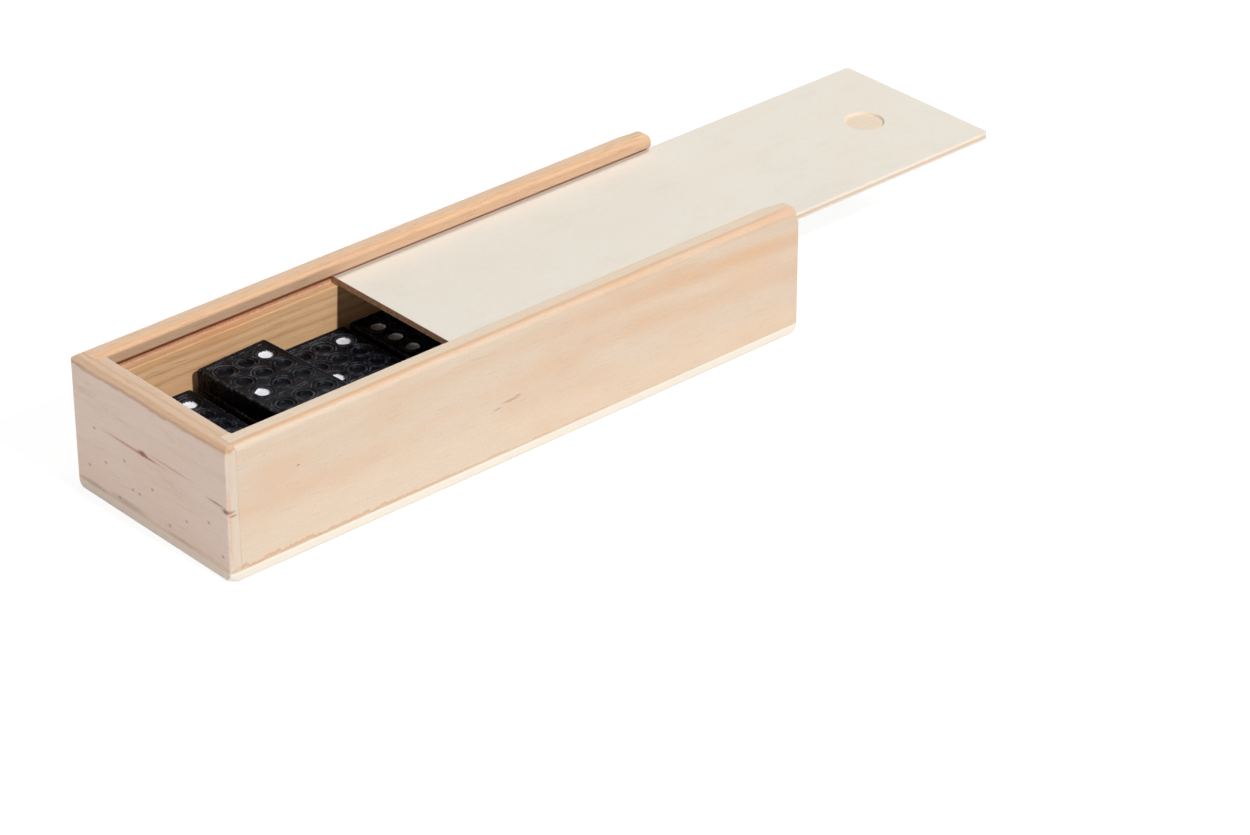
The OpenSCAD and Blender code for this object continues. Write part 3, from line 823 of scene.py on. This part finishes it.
def tile_shape(rng, width, length, thick, step, back, front):
    """Points, faces and paint of one closed tile about its middle, in millimetres. The face is a grid
    whose corners are bent from square to round: each share of the way into the corner, u or v, is
    shortened by the root of 1 less half the other's square. Loops round its border make the upper
    edge's arc, the sawn sides and the lower edge's arc, and a fan closes the underside."""
    half_x = width / 2 - TILE_EDGE
    half_y = length / 2 - TILE_EDGE
    columns = int(round(2 * half_x / step)) + 1
    rows = int(round(2 * half_y / step)) + 1
    x, y = np.meshgrid(np.linspace(-half_x, half_x, columns), np.linspace(-half_y, half_y, rows))
    corner = TILE_CORNER - TILE_EDGE
    core_x = half_x - corner
    core_y = half_y - corner
    u = np.clip((np.abs(x) - core_x) / corner, 0, 1)
    v = np.clip((np.abs(y) - core_y) / corner, 0, 1)
    bent_x = np.sign(x) * (np.minimum(np.abs(x), core_x) + corner * u * np.sqrt(1 - v * v / 2))
    bent_y = np.sign(y) * (np.minimum(np.abs(y), core_y) + corner * v * np.sqrt(1 - u * u / 2))
    x = np.where(v > 0, bent_x, x)
    y = np.where(u > 0, bent_y, y)
    relief, paint = pressed_face(rng, x, y, length, back, front)
    inset = np.minimum(half_x - np.abs(x), half_y - np.abs(y))
    relief *= smooth_step(inset, 0.0, 0.5)
    face = np.stack([x, y, thick + relief], -1).reshape(-1, 3)

    ring = border(rows, columns)
    edge = face[ring]
    inner = np.stack([np.clip(edge[:, 0], -core_x, core_x), np.clip(edge[:, 1], -core_y, core_y)], -1)
    outward = edge[:, :2] - inner
    outward /= np.linalg.norm(outward, axis=1)[:, None]
    travel = np.cumsum(np.linalg.norm(np.diff(edge[:, :2], axis=0, append=edge[:1, :2]), axis=1))
    flat = np.zeros_like(travel)
    saw_marks = 0.02 * value_noise(rng, travel, flat, 0.45, 1)
    saw_marks += 0.03 * value_noise(rng, travel, flat, 1.6, 1)
    nicks = 0.12 * np.clip(value_noise(rng, travel, flat, 0.8, 1) - 0.35, 0, 1)
    arc = np.radians(np.arange(18, 91, 18))
    levels = [(TILE_EDGE * math.sin(a), thick - TILE_EDGE * (1 - math.cos(a)), math.sin(a)) for a in arc]
    levels += [(TILE_EDGE, z, 1.0) for z in np.linspace(thick - TILE_EDGE, TILE_EDGE, 6)[1:]]
    levels += [(TILE_EDGE * math.cos(a), TILE_EDGE * (1 - math.sin(a)), math.cos(a)) for a in arc]
    loops = []
    for reach, z, share in levels:
        chipped = reach + share * saw_marks - nicks * (z > thick / 2) * (1 - abs(2 * share - 1) ** 2)
        level = np.full(len(ring), z)
        loops.append(np.column_stack([edge[:, :2] + outward * chipped[:, None], level]))
    points = np.concatenate([face, *loops, [[0, 0, 0]]])

    grid = np.arange(rows * columns).reshape(rows, columns)
    quads = [np.stack([grid[:-1, :-1], grid[:-1, 1:], grid[1:, 1:], grid[1:, :-1]], -1).reshape(-1, 4)]
    upper = ring
    for i in range(len(loops)):
        lower = rows * columns + i * len(ring) + np.arange(len(ring))
        quads.append(np.stack([lower, np.roll(lower, -1), np.roll(upper, -1), upper], -1))
        upper = lower
    fan = np.stack([np.full(len(ring), len(points) - 1), np.roll(upper, -1), upper], -1)
    faces = np.concatenate(quads).tolist() + fan.tolist()
    painted = np.concatenate([paint.ravel(), np.full(len(points) - paint.size, -1.0)])
    return points, faces, painted


def pressed_tile(node, seed):
    """One tile in place of its node. Its two numbers are read from its name, the back half's first."""
    back, front = (int(n) for n in node.split("_")[1:])
    rng = np.random.default_rng(seed)
    low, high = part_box(node)
    width, length, thick = TILE_SIZE
    step = FINE_STEP if node in FINE_TILES else COARSE_STEP
    points, faces, painted = tile_shape(rng, width, length, thick, step, back, front)
    on_tile = points.astype(np.float32).ravel()
    angle = LOOSE_TURN if node == LOOSE_TILE else 0.0
    spin = np.array([[math.cos(angle), math.sin(angle)], [-math.sin(angle), math.cos(angle)]])
    points[:, :2] = points[:, :2] @ spin
    points = points * MM + np.array([(low.x + high.x) / 2, (low.y + high.y) / 2, low.z])
    mesh = bpy.data.meshes.new("pressed_" + node)
    mesh.from_pydata(points, [], faces)
    mesh.attributes.new("paint", "FLOAT", "POINT").data.foreach_set("value", painted.astype(np.float32))
    mesh.attributes.new("on_tile", "FLOAT_VECTOR", "POINT").data.foreach_set("vector", on_tile)
    mesh.polygons.foreach_set("use_smooth", np.ones(len(mesh.polygons), bool))
    mesh.materials.append(BLACK_STAIN)
    tile = bpy.data.objects.new("pressed_" + node, mesh)
    bpy.context.scene.collection.objects.link(tile)
    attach(tile, frame["nodes"][node]["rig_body"])
    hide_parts(node)
    return tile


# Stage, lights and camera

def light_path_share(tree):
    """1 for rays that the camera, a mirror or glass sends, and 0 for rays that carry light."""
    path = tree.nodes.new("ShaderNodeLightPath").outputs
    seen = calc(tree, "MAXIMUM", path["Is Camera Ray"], path["Is Glossy Ray"])
    return calc(tree, "MAXIMUM", seen, path["Is Transmission Ray"])


def white_floor():
    """A wide white floor. Seen straight it is near white by itself and keeps a faint shadow."""
    mesh = bpy.data.meshes.new("floor")
    corners = [(-1, -1), (1, -1), (1, 1), (-1, 1)]
    points = [(x * FLOOR_HALF * MM, y * FLOOR_HALF * MM, -FLOOR_DROP * MM) for x, y in corners]
    mesh.from_pydata(points, [], [(0, 1, 2, 3)])
    material = bpy.data.materials.new("floor_white")
    material.use_nodes = True
    tree = material.node_tree
    tree.nodes.clear()
    bounce = put(tree, "ShaderNodeBsdfDiffuse", ((0.9, 0.9, 0.9, 1),))
    glow = put(tree, "ShaderNodeEmission", ((1, 1, 1, 1), 0.92))
    shaded = put(tree, "ShaderNodeBsdfDiffuse", ((0.14, 0.14, 0.14, 1),))
    seen = put(tree, "ShaderNodeAddShader", (glow, shaded))
    both = put(tree, "ShaderNodeMixShader", (light_path_share(tree), bounce, seen))
    tree.links.new(both, tree.nodes.new("ShaderNodeOutputMaterial").inputs["Surface"])
    mesh.materials.append(material)
    floor = bpy.data.objects.new("floor", mesh)
    bpy.context.scene.collection.objects.link(floor)


def studio_world():
    """White where the camera or a mirror sees it, and a low even light for everything else."""
    world = bpy.data.worlds.new("studio")
    bpy.context.scene.world = world
    world.use_nodes = True
    tree = world.node_tree
    tree.nodes.clear()
    colour = mix(tree, light_path_share(tree), (0.03, 0.03, 0.03, 1), (1, 1, 1, 1))
    glow = put(tree, "ShaderNodeBackground", (colour, 1.0))
    tree.links.new(glow, tree.nodes.new("ShaderNodeOutputWorld").inputs["Surface"])


def aim(thing, place, target):
    """Puts a lamp or the camera at a place and points it at a target."""
    thing.location = place
    thing.rotation_mode = "QUATERNION"
    thing.rotation_quaternion = (Vector(target) - Vector(place)).to_track_quat("-Z", "Y")


def add_sun(name, towards, strength, spread):
    """A far lamp that shines along a direction, with its disc's angle in degrees."""
    data = bpy.data.lights.new(name, "SUN")
    data.energy = strength
    data.angle = math.radians(spread)
    lamp = bpy.data.objects.new(name, data)
    bpy.context.scene.collection.objects.link(lamp)
    aim(lamp, (0, 0, 0), towards)


def add_softbox(name, place, size, power):
    """A square soft lamp that faces the box, with its side in metres."""
    data = bpy.data.lights.new(name, "AREA")
    data.size = size
    data.energy = power
    lamp = bpy.data.objects.new(name, data)
    bpy.context.scene.collection.objects.link(lamp)
    aim(lamp, place, (0, 0, 0))


def studio_lights():
    """The key comes from the front above. A low fill from the left lights the closed end, a soft lamp
    above the open end lights what faces up, and a weaker one lights the back."""
    add_sun("key", towards=(-0.05, 1.0, -0.9), strength=2.1, spread=2.0)
    add_softbox("left_fill", place=(-1.35, -0.3, 0.13), size=0.6, power=8.7)
    add_softbox("overhead", place=(0.45, -0.1, 1.3), size=0.6, power=8.6)
    add_softbox("back_fill", place=(0.6, 1.35, 0.06), size=0.5, power=4.5)


def photo_camera():
    """The camera at the photograph's place, with the picture's middle on its axis."""
    data = bpy.data.cameras.new("camera")
    data.lens = CAMERA_LENS
    data.sensor_width = 36
    data.clip_start = 0.01
    data.clip_end = 50
    camera = bpy.data.objects.new("camera", data)
    bpy.context.scene.collection.objects.link(camera)
    aim(camera, CAMERA_AT, Vector(CAMERA_AT) + Vector(CAMERA_LOOKS))
    bpy.context.scene.camera = camera


TILE_LOW, TILE_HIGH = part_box("tile_3_0")
TILE_SIZE = tuple((TILE_HIGH - TILE_LOW) / MM)
BLACK_STAIN = black_stain()

photo_camera()
studio_world()
studio_lights()
white_floor()
bpy.context.scene.view_settings.view_transform = "Standard"

for board_node in MATERIALS:
    sanded_board(board_node)
tile_nodes = sorted(n for n in frame["nodes"] if n.startswith("tile_"))
for seed, tile_node in enumerate(tile_nodes, FIRST_SEED):
    pressed_tile(tile_node, seed)
